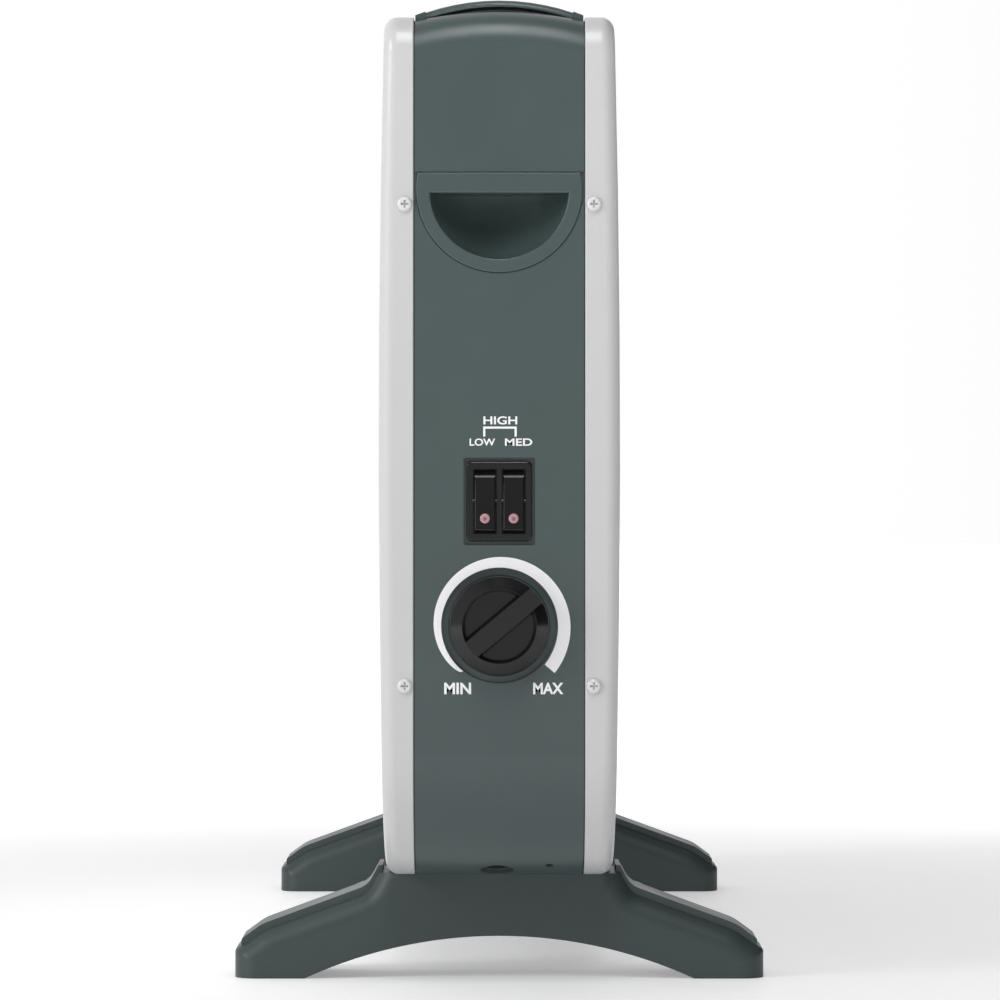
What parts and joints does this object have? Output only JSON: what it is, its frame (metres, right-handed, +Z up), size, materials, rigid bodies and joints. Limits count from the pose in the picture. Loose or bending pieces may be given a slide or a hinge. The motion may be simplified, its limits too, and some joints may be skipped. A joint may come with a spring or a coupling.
{
  "type": "oil filled radiator heater",
  "caption": "Slim free-standing heater with a closed white and grey casing, end controls, handle scoops and splayed feet.",
  "frame": {"origin": "on the floor under the middle of the heater", "axes": "+X across the casing to the right of someone facing the controls, +Y along the casing away from the controls, +Z up"},
  "size_m": [0.212, 0.5937, 0.388],
  "materials": {
    "white_enamel": "fine powder coat, satin",
    "casing_plastic": "fine spark texture, satin",
    "black_plastic": "smooth satin moulding",
    "neon_lens": "tinted clear lens",
    "white_screw": "enamelled screw head",
    "zinc_steel": "zinc plated",
    "brass": "bright",
    "white_insulator": "moulded insulator",
    "element_sheath": "drawn tube",
    "rubber": "matt",
    "core_steel": "grey heat resisting paint",
    "lead_red": "silicone sleeve",
    "lead_blue": "silicone sleeve",
    "lead_green": "silicone sleeve"
  },
  "bodies": {
    "casing": {"base_nuts": "zinc_steel", "base_plate": "zinc_steel", "bracket_bolts": "zinc_steel", "control_cap_screws": "white_screw", "control_end_cap": "casing_plastic", "control_handle_cup": "casing_plastic", "cord_bushing": "rubber", "cord_clamp": "black_plastic", "cord_clamp_screws": "zinc_steel", "core_column_01": "core_steel", "core_column_02": "core_steel", "core_column_03": "core_steel", "core_column_04": "core_steel", "core_column_05": "core_steel", "core_column_06": "core_steel", "core_column_07": "core_steel", "core_column_08": "core_steel", "cutout_lead": "lead_red", "earth_lead": "lead_green", "earth_screw": "zinc_steel", "element_flange": "zinc_steel", "element_gasket": "rubber", "element_ring": "zinc_steel", "far_cap_screws": "white_screw", "far_core_bracket": "zinc_steel", "far_end_cap": "casing_plastic", "far_foot": "casing_plastic", "far_handle_cup": "casing_plastic", "filler_plug": "zinc_steel", "flange_bolts": "zinc_steel", "foot_screws": "zinc_steel", "header_closures": "core_steel", "heat_shield": "zinc_steel", "left_side_panel": "white_enamel", "low_element": "element_sheath", "low_lead": "lead_red", "medium_element": "element_sheath", "medium_lead": "lead_red", "near_core_bracket": "zinc_steel", "near_foot": "casing_plastic", "neutral_lead": "lead_blue", "neutral_strap": "brass", "right_side_panel": "white_enamel", "supply_lead": "lead_red", "switch_housing": "black_plastic", "terminal_block": "white_insulator", "terminal_sleeves": "brass", "thermal_cutout": "zinc_steel", "thermostat_bimetal": "brass", "thermostat_contacts": "white_insulator", "thermostat_frame": "zinc_steel", "thermostat_lead": "lead_red", "thermostat_screws": "zinc_steel", "top_grille": "casing_plastic"},
    "dial": {"thermostat_knob": "black_plastic", "thermostat_spindle": "zinc_steel"},
    "low_switch": {"low_rocker": "black_plastic", "low_neon_lens": "neon_lens"},
    "medium_switch": {"medium_rocker": "black_plastic", "medium_neon_lens": "neon_lens"}
  },
  "joints": [
    {"name": "dial_turn", "type": "hinge", "parent": "casing", "child": "dial", "pos_m": [0, -0.29, 0.1425], "axis": [0, 1, 0], "range_deg": [-191, 80]},
    {"name": "low_press", "type": "hinge", "parent": "casing", "child": "low_switch", "pos_m": [-0.0056, -0.2818, 0.191], "axis": [1, 0, 0], "range_deg": [0, 14]},
    {"name": "medium_press", "type": "hinge", "parent": "casing", "child": "medium_switch", "pos_m": [0.0056, -0.2818, 0.191], "axis": [1, 0, 0], "range_deg": [0, 14]}
  ]
}
